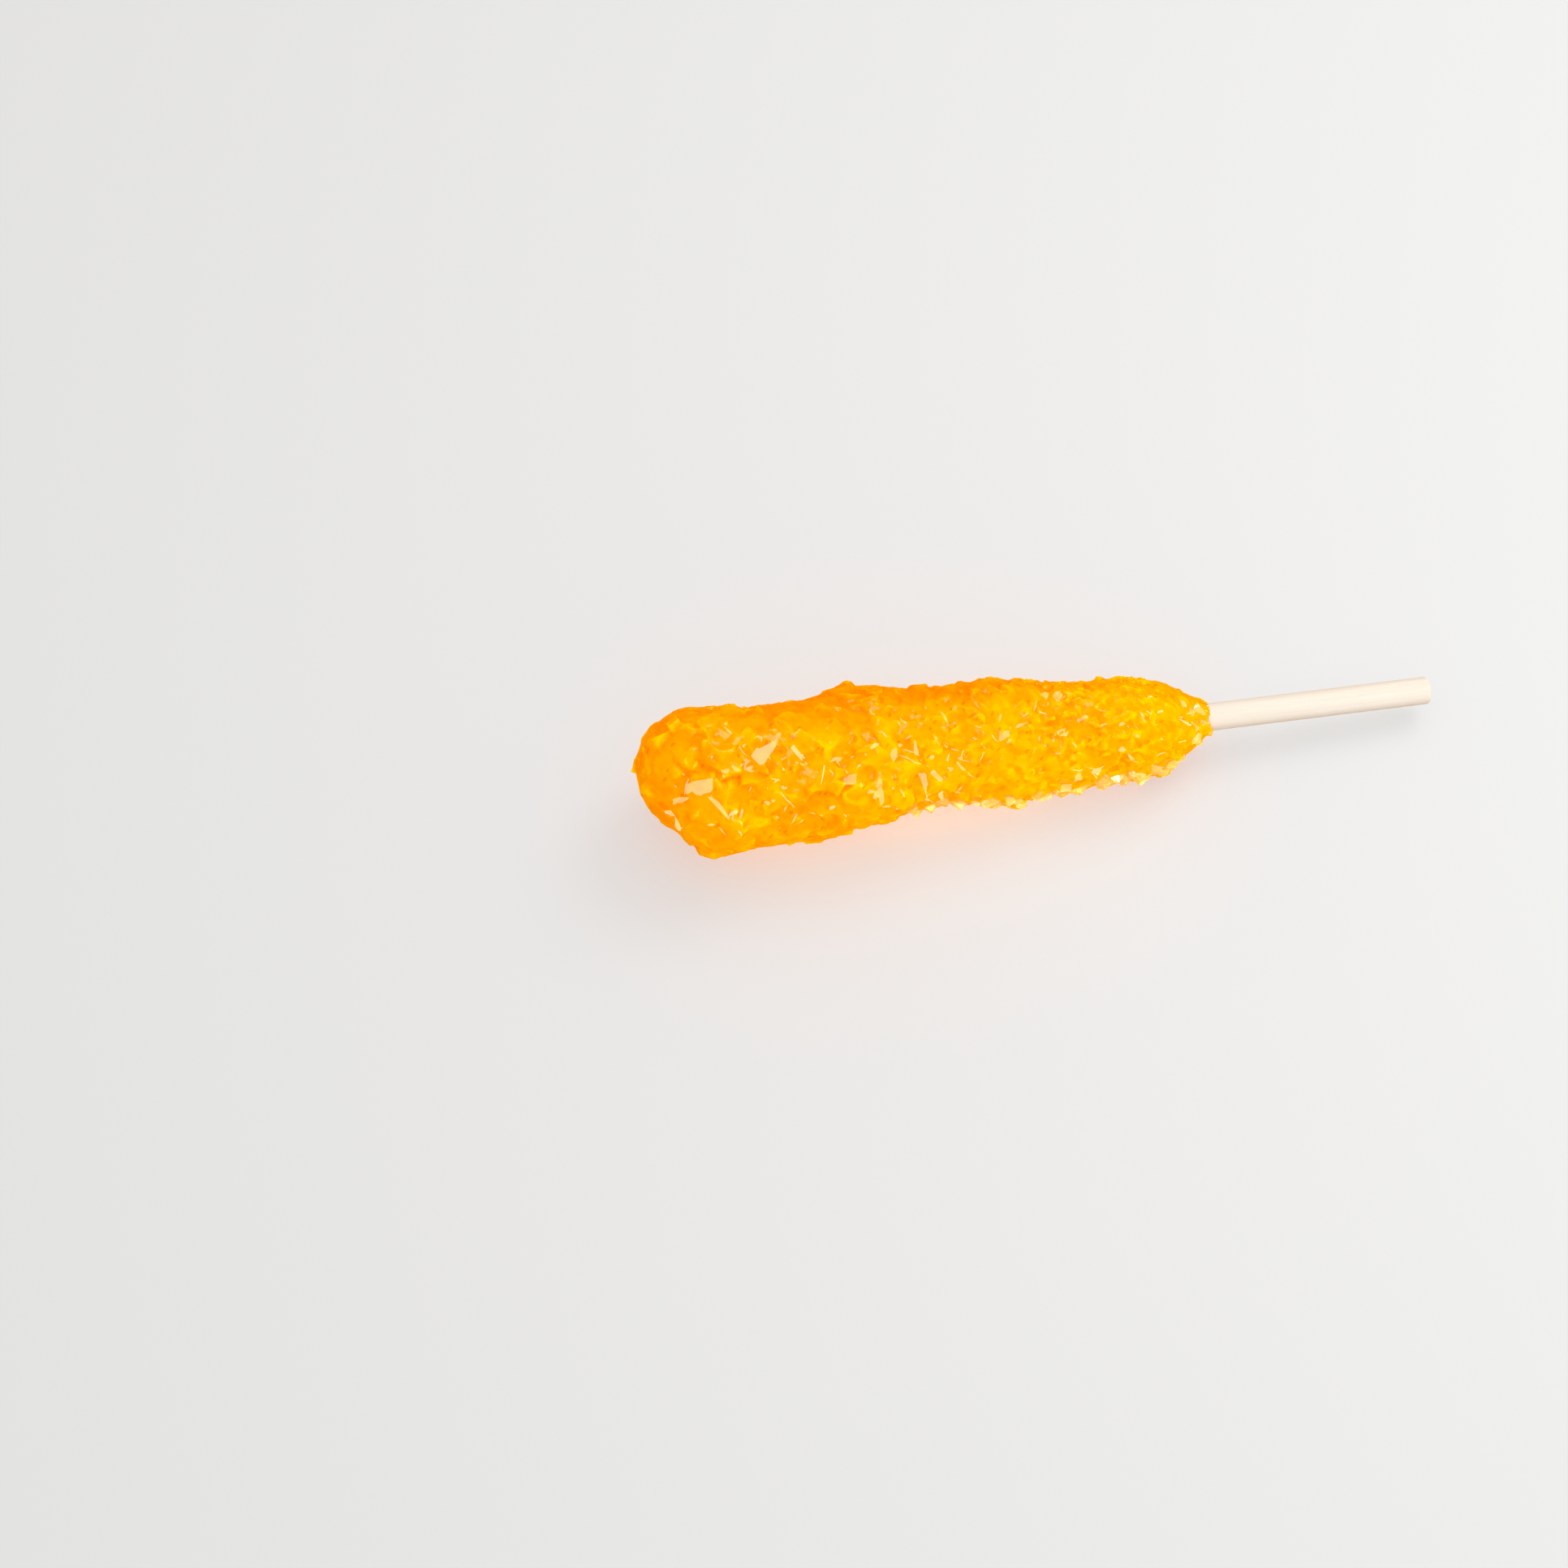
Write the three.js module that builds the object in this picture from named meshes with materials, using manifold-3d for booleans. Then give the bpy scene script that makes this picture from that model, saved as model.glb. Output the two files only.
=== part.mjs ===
// Rock candy on a stick: orange sugar crystals grown round one end of a wooden stick, lying on its side.
// Millimetres, +Z up. The stick runs along X with its bare end at +X, and slopes because the candy tapers.
// The floor is Z = 0. The origin is under the middle of the object's bounding box.
import * as THREE from "three";
import { ConvexGeometry } from "three/addons/geometries/ConvexGeometry.js";
import { mergeVertices } from "three/addons/utils/BufferGeometryUtils.js";
import Module from "manifold-3d";

// The stick: a round wooden dowel with slightly eased ends.
const STICK_LENGTH = 140;
const STICK_RADIUS = 2.5;
const STICK_BARE_LENGTH = 41;
const STICK_END_ROUND = 0.4;
const STICK_SIDES = 32;
const STICK_ROUND_STEPS = 3;

// The candy, measured along the stick from its collar, where the stick comes out of it.
const CANDY_LENGTH = 106;
const BORE_GAP = 0.3;
const BORE_SIDES = 20;
const AXIS_SLOPE_DEG = 3.7;
const COLLAR_HEIGHT = 8.0; // of the stick's axis above the floor

// The floor cuts the lowest crystals flat, so that the candy rests on them.
const FLOOR_WIDTH = 400;
const FLOOR_DEPTH = 50;

// Outline of the candy as [distance from the collar, radius, how far its middle hangs below the stick].
const OUTLINE = [
  [0.6, 3.0, 0.0],
  [3.4, 5.0, 0.4],
  [8.8, 8.5, 0.6],
  [15.0, 10.2, 0.3],
  [21.0, 10.4, 0.1],
  [31.0, 10.8, -0.4],
  [41.3, 11.8, -0.3],
  [51.5, 11.6, -0.6],
  [62.6, 12.9, -0.5],
  [70.0, 13.2, 0.2],
  [81.7, 13.4, 0.3],
  [91.0, 14.1, 0.3],
  [97.5, 12.2, -1.2],
  [102.5, 8.6, -2.0],
  [105.2, 4.4, -1.8],
  [106.0, 0.0, -1.7],
];
// The middle hangs towards this direction in the section: to the front and down.
const HANG_DIRECTION = new THREE.Vector3(0, -Math.cos(Math.PI / 6), -Math.sin(Math.PI / 6));

// Slow unevenness of the outline, as
// [share of the radius, waves round the stick, phase per mm along it, start phase].
const LUMPS = [
  [0.035, 3, 0.11, 0],
  [0.03, 2, -0.19, 1.3],
];

// The grown-together core under the crystals.
const CORE_SIDES = 14;
const CORE_STATIONS = 16;
const CORE_START = 1.6; // from the collar
const CORE_DEPTH = 1.8; // below the outline
const CORE_DEPTH_AT_COLLAR = 0.35;
const CORE_TAPER = 12; // distance over which the depth grows to its full value

// Crystals are spread evenly over the outline, small at the collar and large at the far end.
// A range in brackets is drawn from for each crystal.
const CRYSTAL_SEED = 20;
const SPACING_COLLAR = 4.0;
const SPACING_FAR_END = 6.4;
const FULL_TURN = [0, 2 * Math.PI];
const GOLDEN_ANGLE = Math.PI * (3 - Math.sqrt(5));
const MERIDIAN_STEPS = 400;
const NORMAL_STEP = 1.5; // along the stick, either side of the place where the slope is taken
const LENGTH_PER_SPACING = [1.12, 1.68];
const WIDTH_PER_LENGTH = [0.55, 0.8];
const THICKNESS_PER_LENGTH = [0.4, 0.6];
const CHISEL_PER_LENGTH = [0.1, 0.22];
const SLANT = [-0.3, 0.3];
const CHISEL_OFFSET = 0.12; // of the chisel edges from the crystal's middle, as a share of its width
const CHISELLED_SHARE = 0.12;
const LEAN = [0.6, 1.35]; // of the long axis away from the surface normal, in radians
const ROLL = [-1, 1];
const REACH = [-0.9, 0.4]; // of the outermost corner past the outline
const ANGLE_JITTER = [-0.12, 0.12];

// Single large crystals that stand out of the rest, as
// [distance from the collar, angle round the stick in degrees, reach past the outline, size].
// At 90 degrees a crystal is on top, and at 0 it is at the back.
const LARGE_CRYSTALS = [
  [93.0, 208, 1.6, 7.0],
  [66.5, 32, 1.6, 6.0],
  [104.5, 150, 1.6, 7.0],
  [97.0, 75, 0.4, 6.5],
  [37.5, 205, 0.9, 4.2],
  [29.0, 212, 0.5, 4.0],
  [10.0, 215, 0.6, 3.6],
  [79.0, 100, 0.5, 6.6],
  [86.0, 290, 0.9, 6.4],
  [74.0, 330, 1.0, 6.0],
  [50.0, 280, 0.8, 5.2],
];

const LARGE_WIDTH = 0.7; // these three are shares of its size
const LARGE_THICKNESS = 0.55;
const LARGE_CHISEL = 0.2;
const LARGE_LEAN = [0.2, 0.7];

// Cross-sections of a crystal, as shares of its width and thickness.
const FOUR_SIDED_SECTION = [
  [-0.5, 0.5],
  [0.5, 0.5],
  [0.5, -0.5],
  [-0.5, -0.5],
];
const SIX_SIDED_SECTION = [
  [-0.5, 0.0],
  [-0.27, 0.5],
  [0.3, 0.5],
  [0.5, 0.0],
  [0.27, -0.5],
  [-0.3, -0.5],
];

const STICK_COLOUR = 0xf6e7c8;
const CANDY_COLOUR = 0xffa800;

const wasm = await Module();
wasm.setup();

// A repeatable stream of numbers from 0 to 1.
function seededRandom(seed) {
  let state = seed;
  return () => {
    state = (Math.imul(1664525, state) + 1013904223) >>> 0;
    return state / 2 ** 32;
  };
}

function toSolid(geometry) {
  const bare = new THREE.BufferGeometry().setAttribute(
    "position",
    geometry.index ? geometry.toNonIndexed().getAttribute("position") : geometry.getAttribute("position"),
  );
  const merged = mergeVertices(bare, 1e-5);
  return new wasm.Manifold(
    new wasm.Mesh({
      numProp: 3,
      vertProperties: new Float32Array(merged.attributes.position.array),
      triVerts: new Uint32Array(merged.index.array),
    }),
  );
}

function toGeometry(solid) {
  const mesh = solid.getMesh();
  return new THREE.BufferGeometry()
    .setAttribute("position", new THREE.BufferAttribute(new Float32Array(mesh.vertProperties), 3))
    .setIndex(new THREE.BufferAttribute(new Uint32Array(mesh.triVerts), 1));
}

// The outline at a distance from the collar, straight between the listed points.
function outlineAt(distance) {
  const last = OUTLINE.length - 2;
  let i = 0;
  while (i < last && distance > OUTLINE[i + 1][0]) i += 1;
  const [s0, r0, h0] = OUTLINE[i];
  const [s1, r1, h1] = OUTLINE[i + 1];
  const t = THREE.MathUtils.clamp((distance - s0) / (s1 - s0), 0, 1);
  return { radius: THREE.MathUtils.lerp(r0, r1, t), hang: THREE.MathUtils.lerp(h0, h1, t) };
}

// A point of the outline in the stick's frame, where the collar is the origin and the candy runs towards -X.
function outlinePoint(distance, angle, inset) {
  const { radius, hang } = outlineAt(distance);
  let swell = 1;
  for (const [share, waves, phasePerMm, start] of LUMPS) {
    swell += share * Math.sin(waves * angle + phasePerMm * distance + start);
  }
  const r = Math.max(radius * swell - inset, 0);
  const middle = new THREE.Vector3(-distance, 0, 0).addScaledVector(HANG_DIRECTION, hang);
  return middle.add(new THREE.Vector3(0, r * Math.cos(angle), r * Math.sin(angle)));
}

// Outward direction of the outline, from its slope along the stick.
function outlineNormal(distance, angle) {
  const before = Math.max(distance - NORMAL_STEP, 0);
  const after = Math.min(distance + NORMAL_STEP, CANDY_LENGTH);
  const along = outlinePoint(after, angle, 0).sub(outlinePoint(before, angle, 0));
  const round = new THREE.Vector3(0, -Math.sin(angle), Math.cos(angle));
  return along.cross(round).normalize();
}

// The core: the outline drawn in below the crystals, closed at both ends.
function coreGeometry() {
  const rows = [];
  for (let j = 0; j <= CORE_STATIONS; j += 1) {
    const distance = THREE.MathUtils.lerp(CORE_START, CANDY_LENGTH - CORE_DEPTH, j / CORE_STATIONS);
    const depth = THREE.MathUtils.lerp(CORE_DEPTH_AT_COLLAR, CORE_DEPTH, Math.min(distance / CORE_TAPER, 1));
    const row = [];
    for (let i = 0; i < CORE_SIDES; i += 1) {
      row.push(outlinePoint(distance, (2 * Math.PI * i) / CORE_SIDES, depth));
    }
    rows.push(row);
  }
  const positions = [];
  const triangle = (a, b, c) => positions.push(...a, ...b, ...c);
  for (let j = 0; j < CORE_STATIONS; j += 1) {
    for (let i = 0; i < CORE_SIDES; i += 1) {
      const k = (i + 1) % CORE_SIDES;
      triangle(rows[j][i], rows[j + 1][i], rows[j][k]);
      triangle(rows[j][k], rows[j + 1][i], rows[j + 1][k]);
    }
  }
  const middle = (row) => row.reduce((sum, p) => sum.add(p), new THREE.Vector3()).divideScalar(row.length);
  const first = middle(rows[0]);
  const last = middle(rows[CORE_STATIONS]);
  for (let i = 0; i < CORE_SIDES; i += 1) {
    const k = (i + 1) % CORE_SIDES;
    triangle(first, rows[0][i], rows[0][k]);
    triangle(last, rows[CORE_STATIONS][k], rows[CORE_STATIONS][i]);
  }
  return new THREE.BufferGeometry().setAttribute("position", new THREE.Float32BufferAttribute(positions, 3));
}

// Corners of one sugar crystal: a flattened, slanted prism along Z.
// Each of its ends is one slanted face, or two that meet in a chisel edge.
function crystalCorners(shape) {
  const { length, width, thickness, slant, chisel, sixSided, chiselled } = shape;
  const half = length / 2;
  const section = sixSided ? SIX_SIDED_SECTION : FOUR_SIDED_SECTION;
  const corners = [];
  for (const end of [-1, 1]) {
    for (const [x, y] of section) {
      const drop = chiselled ? chisel : chisel * (0.5 + x);
      corners.push(new THREE.Vector3((x + slant * y) * width, y * thickness, end * (half - drop)));
    }
    if (chiselled) {
      for (const y of [-0.5, 0.5]) {
        corners.push(new THREE.Vector3((CHISEL_OFFSET * end + slant * y) * width, y * thickness, end * half));
      }
    }
  }
  return corners;
}

// Turns a crystal's own axes to a long axis that leans away from the surface normal.
function crystalTurn(normal, lean, heading, roll) {
  const helper = Math.abs(normal.x) < 0.9 ? new THREE.Vector3(1, 0, 0) : new THREE.Vector3(0, 1, 0);
  const tangent = new THREE.Vector3().crossVectors(normal, helper).normalize();
  const side = new THREE.Vector3().crossVectors(normal, tangent);
  const flat = tangent.multiplyScalar(Math.cos(heading)).addScaledVector(side, Math.sin(heading));
  const long = flat.multiplyScalar(Math.sin(lean)).addScaledVector(normal, Math.cos(lean));
  const wide = new THREE.Vector3().crossVectors(long, normal).normalize();
  const thick = new THREE.Vector3().crossVectors(long, wide);
  const basis = new THREE.Matrix4().makeBasis(wide, thick, long);
  return basis.multiply(new THREE.Matrix4().makeRotationZ(roll));
}

// One crystal whose outermost corner reaches past the outline by the given amount.
function placedCrystal(shape, turn, distance, angle, reach) {
  const normal = outlineNormal(distance, angle);
  const corners = crystalCorners(shape).map((p) => p.applyMatrix4(turn));
  const furthest = Math.max(...corners.map((p) => p.dot(normal)));
  const anchor = outlinePoint(distance, angle, 0).addScaledVector(normal, reach - furthest);
  return new ConvexGeometry(corners.map((p) => p.add(anchor)));
}

function spacingAt(distance) {
  return THREE.MathUtils.lerp(SPACING_COLLAR, SPACING_FAR_END, distance / CANDY_LENGTH);
}

// Distances from the collar at which crystals sit, so that each has its own share of the surface.
function crystalDistances() {
  const totals = [0];
  for (let i = 1; i <= MERIDIAN_STEPS; i += 1) {
    const distance = (CANDY_LENGTH * (i - 0.5)) / MERIDIAN_STEPS;
    const half = CANDY_LENGTH / MERIDIAN_STEPS / 2;
    const a = outlineAt(distance - half);
    const b = outlineAt(distance + half);
    const slope = Math.hypot(2 * half, b.radius - a.radius);
    totals.push(totals[i - 1] + (Math.PI * (a.radius + b.radius) * slope) / spacingAt(distance) ** 2);
  }
  const count = Math.floor(totals[MERIDIAN_STEPS]);
  const distances = [];
  let i = 0;
  for (let n = 0; n < count; n += 1) {
    while (totals[i + 1] < n + 0.5) i += 1;
    const t = (n + 0.5 - totals[i]) / (totals[i + 1] - totals[i]);
    distances.push((CANDY_LENGTH * (i + t)) / MERIDIAN_STEPS);
  }
  return distances;
}

function crystalGeometries() {
  const random = seededRandom(CRYSTAL_SEED);
  const between = ([low, high]) => low + (high - low) * random();
  const crystals = crystalDistances().map((distance, n) => {
    const angle = n * GOLDEN_ANGLE + between(ANGLE_JITTER);
    const length = spacingAt(distance) * between(LENGTH_PER_SPACING);
    const shape = {
      length,
      width: length * between(WIDTH_PER_LENGTH),
      thickness: length * between(THICKNESS_PER_LENGTH),
      slant: between(SLANT),
      chisel: length * between(CHISEL_PER_LENGTH),
      sixSided: false,
      chiselled: random() < CHISELLED_SHARE,
    };
    const normal = outlineNormal(distance, angle);
    const turn = crystalTurn(normal, between(LEAN), between(FULL_TURN), between(ROLL));
    return placedCrystal(shape, turn, distance, angle, between(REACH));
  });
  for (const [distance, degrees, reach, size] of LARGE_CRYSTALS) {
    const angle = THREE.MathUtils.degToRad(degrees);
    const shape = {
      length: size,
      width: size * LARGE_WIDTH,
      thickness: size * LARGE_THICKNESS,
      slant: 0,
      chisel: size * LARGE_CHISEL,
      sixSided: true,
      chiselled: true,
    };
    const turn = crystalTurn(outlineNormal(distance, angle), between(LARGE_LEAN), between(FULL_TURN), 0);
    crystals.push(placedCrystal(shape, turn, distance, angle, reach));
  }
  return crystals;
}

// Places the stick's frame in the part's frame: tilted down towards the bare end, over the floor.
function stickFrame() {
  const tilt = new THREE.Matrix4().makeRotationY(THREE.MathUtils.degToRad(AXIS_SLOPE_DEG));
  return new THREE.Matrix4().makeTranslation(0, 0, COLLAR_HEIGHT).multiply(tilt);
}

function stickGeometry() {
  const half = STICK_LENGTH / 2;
  const profile = [new THREE.Vector2(0, -half)];
  for (const end of [-1, 1]) {
    for (let i = 0; i <= STICK_ROUND_STEPS; i += 1) {
      const turn = (Math.PI / 2) * (end < 0 ? i / STICK_ROUND_STEPS : 1 - i / STICK_ROUND_STEPS);
      const out = STICK_RADIUS - STICK_END_ROUND * (1 - Math.sin(turn));
      profile.push(new THREE.Vector2(out, end * (half - STICK_END_ROUND * (1 - Math.cos(turn)))));
    }
  }
  profile.push(new THREE.Vector2(0, half));
  return new THREE.LatheGeometry(profile, STICK_SIDES)
    .rotateZ(-Math.PI / 2)
    .translate(STICK_BARE_LENGTH - half, 0, 0);
}

function candyGeometry(frame) {
  const pieces = [coreGeometry(), ...crystalGeometries()];
  const solids = pieces.map((g) => toSolid(g.applyMatrix4(frame)));
  const boreEnd = STICK_BARE_LENGTH - STICK_LENGTH - BORE_GAP;
  const boreLength = STICK_BARE_LENGTH - boreEnd;
  const boreRadius = STICK_RADIUS + BORE_GAP;
  const bore = new THREE.CylinderGeometry(boreRadius, boreRadius, boreLength, BORE_SIDES)
    .rotateZ(Math.PI / 2)
    .translate(boreEnd + boreLength / 2, 0, 0)
    .applyMatrix4(frame);
  const floor = new THREE.BoxGeometry(FLOOR_WIDTH, FLOOR_WIDTH, FLOOR_DEPTH);
  floor.translate(0, 0, -FLOOR_DEPTH / 2);
  const cut = wasm.Manifold.union(solids).subtract(toSolid(bore)).subtract(toSolid(floor));
  const bodies = cut.decompose().sort((a, b) => b.volume() - a.volume());
  return toGeometry(bodies[0]);
}

function namedMesh(name, geometry, material) {
  const mesh = new THREE.Mesh(geometry, material);
  mesh.name = name;
  return mesh;
}

const frame = stickFrame();
const part = new THREE.Group();
part.add(
  namedMesh(
    "stick",
    stickGeometry().applyMatrix4(frame),
    new THREE.MeshStandardMaterial({ color: STICK_COLOUR, roughness: 0.75, metalness: 0 }),
  ),
  namedMesh(
    "candy",
    candyGeometry(frame),
    new THREE.MeshStandardMaterial({ color: CANDY_COLOUR, roughness: 0.15, metalness: 0 }),
  ),
);

// Brings the origin under the middle of the whole, on the floor.
const bounds = new THREE.Box3().setFromObject(part, true);
const centre = bounds.getCenter(new THREE.Vector3());
part.position.set(-centre.x, -centre.y, 0);

export default part;
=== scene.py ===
import math

import bmesh
import bpy
import numpy as np
import openvdb
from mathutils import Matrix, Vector, noise


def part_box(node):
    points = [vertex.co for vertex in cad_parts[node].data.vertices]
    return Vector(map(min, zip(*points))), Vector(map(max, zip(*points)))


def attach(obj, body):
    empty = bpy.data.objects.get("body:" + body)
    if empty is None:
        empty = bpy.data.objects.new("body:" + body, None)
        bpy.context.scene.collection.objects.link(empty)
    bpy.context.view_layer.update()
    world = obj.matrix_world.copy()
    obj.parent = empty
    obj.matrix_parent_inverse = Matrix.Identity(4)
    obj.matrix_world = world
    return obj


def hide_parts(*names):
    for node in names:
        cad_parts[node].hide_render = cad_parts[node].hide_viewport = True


# Rock candy on a stick. Sizes and places are in millimetres in the stick's own frame: the collar,
# where the stick leaves the candy, is the origin, the candy runs towards -X, Y is to the back and
# Z, square to both, is up. Angles round the stick start at the back: 90 degrees is up and 180 is
# the front.
# Each mesh is turned into the part's frame, in metres, when it is made. The camera, the lights
# and the table are placed in that frame.

MM = 0.001
FULL_TURN = 2 * math.pi

# The stick, and how far it slopes down towards its bare end.
STICK_LENGTH = 140.0
STICK_RADIUS = 2.5
STICK_BARE_LENGTH = 41.0
AXIS_SLOPE = math.radians(3.7)

# The candy's outline, in rows of
# [distance from the collar, radius, how far its middle hangs towards HANG_DIRECTION].
CANDY_LENGTH = 106.0
OUTLINE = np.array([
    [0.6, 3.0, 0.0],
    [3.4, 5.0, 0.4],
    [8.8, 8.5, 0.6],
    [15.0, 10.2, 0.3],
    [21.0, 10.4, 0.1],
    [31.0, 10.8, -0.4],
    [41.3, 11.8, -0.3],
    [51.5, 11.6, -0.6],
    [62.6, 12.9, -0.5],
    [70.0, 13.2, 0.2],
    [81.7, 13.4, 0.3],
    [91.0, 14.1, 0.3],
    [97.5, 12.2, -1.2],
    [102.5, 8.6, -2.0],
    [105.2, 4.4, -1.8],
    [106.0, 0.0, -1.7],
])
HANG_ANGLE = math.pi / 6
HANG_DIRECTION = np.array([0.0, -math.cos(HANG_ANGLE), -math.sin(HANG_ANGLE)])
# Waves in the radius, in rows of (share of the radius, waves a turn, twist a millimetre, start).
LUMPS = [(0.035, 3, 0.11, 0.0), (0.03, 2, -0.19, 1.3)]
# How far to each side the outline's normal is measured, and the steps its area is summed in.
NORMAL_STEP = 1.5
MERIDIAN_STEPS = 400
GOLDEN_ANGLE = math.pi * (3 - math.sqrt(5))

# A linear congruential generator.
DRAW_FACTOR = 1664525
DRAW_STEP = 1013904223
DRAW_RANGE = 2**32


class Draw:
    """A repeatable stream of numbers from 0 to 1."""

    def __init__(self, seed):
        self.state = seed

    def __call__(self):
        self.state = (DRAW_FACTOR * self.state + DRAW_STEP) % DRAW_RANGE
        return self.state / DRAW_RANGE

    def between(self, low, high):
        return low + (high - low) * self()

    def turn(self):
        return self.between(0, FULL_TURN)


def lerp(a, b, t):
    return a + (b - a) * t


def interp(table, distance):
    """The value at this distance from the collar, from rows of [distance, value]."""
    return np.interp(distance, table[:, 0], table[:, 1])


# ---------------- form of the candy

def outline_at(distance):
    """The outline's radius at this distance from the collar, and how far its middle hangs."""
    return (
        np.interp(distance, OUTLINE[:, 0], OUTLINE[:, 1]),
        np.interp(distance, OUTLINE[:, 0], OUTLINE[:, 2]),
    )


def swell(distance, angle):
    """The outline's radius at this angle, as a share of its mean."""
    return 1 + sum(s * np.sin(w * angle + p * distance + q) for s, w, p, q in LUMPS)


def outline_point(distance, angle):
    radius, hang = outline_at(distance)
    r = radius * swell(distance, angle)
    return np.array([-distance, r * math.cos(angle), r * math.sin(angle)]) + HANG_DIRECTION * hang


def outline_normal(distance, angle):
    before = outline_point(max(distance - NORMAL_STEP, 0), angle)
    after = outline_point(min(distance + NORMAL_STEP, CANDY_LENGTH), angle)
    normal = np.cross(after - before, [0, -math.sin(angle), math.cos(angle)])
    return normal / np.linalg.norm(normal)


def spread(spacing_at):
    """Distances from the collar that give each crystal its own share of the surface."""
    totals = [0.0]
    half = CANDY_LENGTH / MERIDIAN_STEPS / 2
    for i in range(1, MERIDIAN_STEPS + 1):
        distance = CANDY_LENGTH * (i - 0.5) / MERIDIAN_STEPS
        near, far = outline_at(distance - half)[0], outline_at(distance + half)[0]
        area = math.pi * (near + far) * math.hypot(2 * half, far - near)
        totals.append(totals[-1] + area / spacing_at(distance) ** 2)
    wanted = np.arange(int(totals[-1])) + 0.5
    steps = np.interp(wanted, totals, np.arange(MERIDIAN_STEPS + 1))
    return steps * CANDY_LENGTH / MERIDIAN_STEPS


def spots(draw, spacing_at, jitter):
    """Places on a spiral round the candy as (distance, angle, spacing), each a little off it."""
    for n, distance in enumerate(spread(spacing_at)):
        angle = n * GOLDEN_ANGLE + draw.between(-jitter, jitter)
        yield distance, angle, spacing_at(distance)


def spacing_from(table):
    return lambda distance: float(interp(table, distance))


# ---------------- crystals

# A crystal's cross-section, in shares of its width and thickness.
FOUR_SIDED = [(-0.5, 0.5), (0.5, 0.5), (0.5, -0.5), (-0.5, -0.5)]
SIX_SIDED = [(-0.5, 0.0), (-0.27, 0.5), (0.3, 0.5), (0.5, 0.0), (0.27, -0.5), (-0.3, -0.5)]
CHISEL_OFFSET = 0.12

# How the kinds of crystals vary: their width, thickness and chisel in shares of the length,
# their slant, and the chances of six sides and of chisel ends.
COARSE_KIND = dict(
    width=(0.55, 0.8), thickness=(0.4, 0.6), slant=(-0.3, 0.3), chisel=(0.1, 0.22),
    six_sided=0, chiselled=0.12,
)
GRAIN_KIND = dict(
    width=(0.3, 0.85), thickness=(0.3, 0.5), slant=(-0.3, 0.3), chisel=(0.05, 0.25),
    six_sided=0.4, chiselled=0.5,
)
CLEAR_KIND = dict(
    width=(0.55, 0.85), thickness=(0.4, 0.6), slant=(-0.25, 0.25), chisel=(0.05, 0.2),
    six_sided=0.3, chiselled=0.5,
)


def drawn_shape(draw, length, kind):
    """A crystal of this kind. A chance of 0 takes no number from the draw."""
    return dict(
        length=length,
        width=length * draw.between(*kind["width"]),
        thickness=length * draw.between(*kind["thickness"]),
        slant=draw.between(*kind["slant"]),
        chisel=length * draw.between(*kind["chisel"]),
        six_sided=kind["six_sided"] > 0 and draw() < kind["six_sided"],
        chiselled=draw() < kind["chiselled"],
    )


def upright_shape(length, width, thickness, chisel):
    """A six-sided crystal with chisel ends, all but its length in shares of its length."""
    return dict(
        length=length,
        width=length * width,
        thickness=length * thickness,
        slant=0,
        chisel=length * chisel,
        six_sided=True,
        chiselled=True,
    )


def crystal_corners(length, width, thickness, slant, chisel, six_sided, chiselled):
    """The corners of a slab that ends in sloping faces or, chiselled, in edges."""
    half = length / 2
    corners = []
    for end in (-1, 1):
        for x, y in SIX_SIDED if six_sided else FOUR_SIDED:
            drop = chisel if chiselled else chisel * (0.5 + x)
            corners.append(((x + slant * y) * width, y * thickness, end * (half - drop)))
        if chiselled:
            for y in (-0.5, 0.5):
                x = CHISEL_OFFSET * end
                corners.append(((x + slant * y) * width, y * thickness, end * half))
    return np.array(corners)


def crystal_turn(normal, lean, heading, roll):
    """Columns are the crystal's own axes; its long axis leans away from the surface normal."""
    helper = [1.0, 0, 0] if abs(normal[0]) < 0.9 else [0, 1.0, 0]
    tangent = np.cross(normal, helper)
    tangent /= np.linalg.norm(tangent)
    side = np.cross(normal, tangent)
    flat = tangent * math.cos(heading) + side * math.sin(heading)
    long = flat * math.sin(lean) + normal * math.cos(lean)
    wide = np.cross(long, normal)
    wide /= np.linalg.norm(wide)
    thick = np.cross(long, wide)
    c, s = math.cos(roll), math.sin(roll)
    return np.column_stack([wide, thick, long]) @ np.array([[c, -s, 0], [s, c, 0], [0, 0, 1]])


def placed(shape, distance, angle, reach, lean, heading=0, roll=0):
    """The corners of a leaning crystal, its outermost one past the outline by reach."""
    normal = outline_normal(distance, angle)
    corners = crystal_corners(**shape) @ crystal_turn(normal, lean, heading, roll).T
    return corners + outline_point(distance, angle) + normal * (reach - (corners @ normal).max())


COARSE_SEED = 20
COARSE_SPACING = (4.0, 6.4)
# Rows of (distance from the collar, degrees, how far one stands out, length).
LARGE_CRYSTALS = [
    (93.0, 208, 1.6, 7.0),
    (66.5, 32, 1.6, 6.0),
    (104.5, 150, 1.6, 7.0),
    (97.0, 75, 0.4, 6.5),
    (37.5, 205, 0.9, 4.2),
    (29.0, 212, 0.5, 4.0),
    (10.0, 215, 0.6, 3.6),
    (79.0, 100, 0.5, 6.6),
    (86.0, 290, 0.9, 6.4),
    (74.0, 330, 1.0, 6.0),
    (50.0, 280, 0.8, 5.2),
]
LARGE_SHARES = (0.7, 0.55, 0.2)


def coarse_spacing(distance):
    return lerp(*COARSE_SPACING, distance / CANDY_LENGTH)


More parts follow.
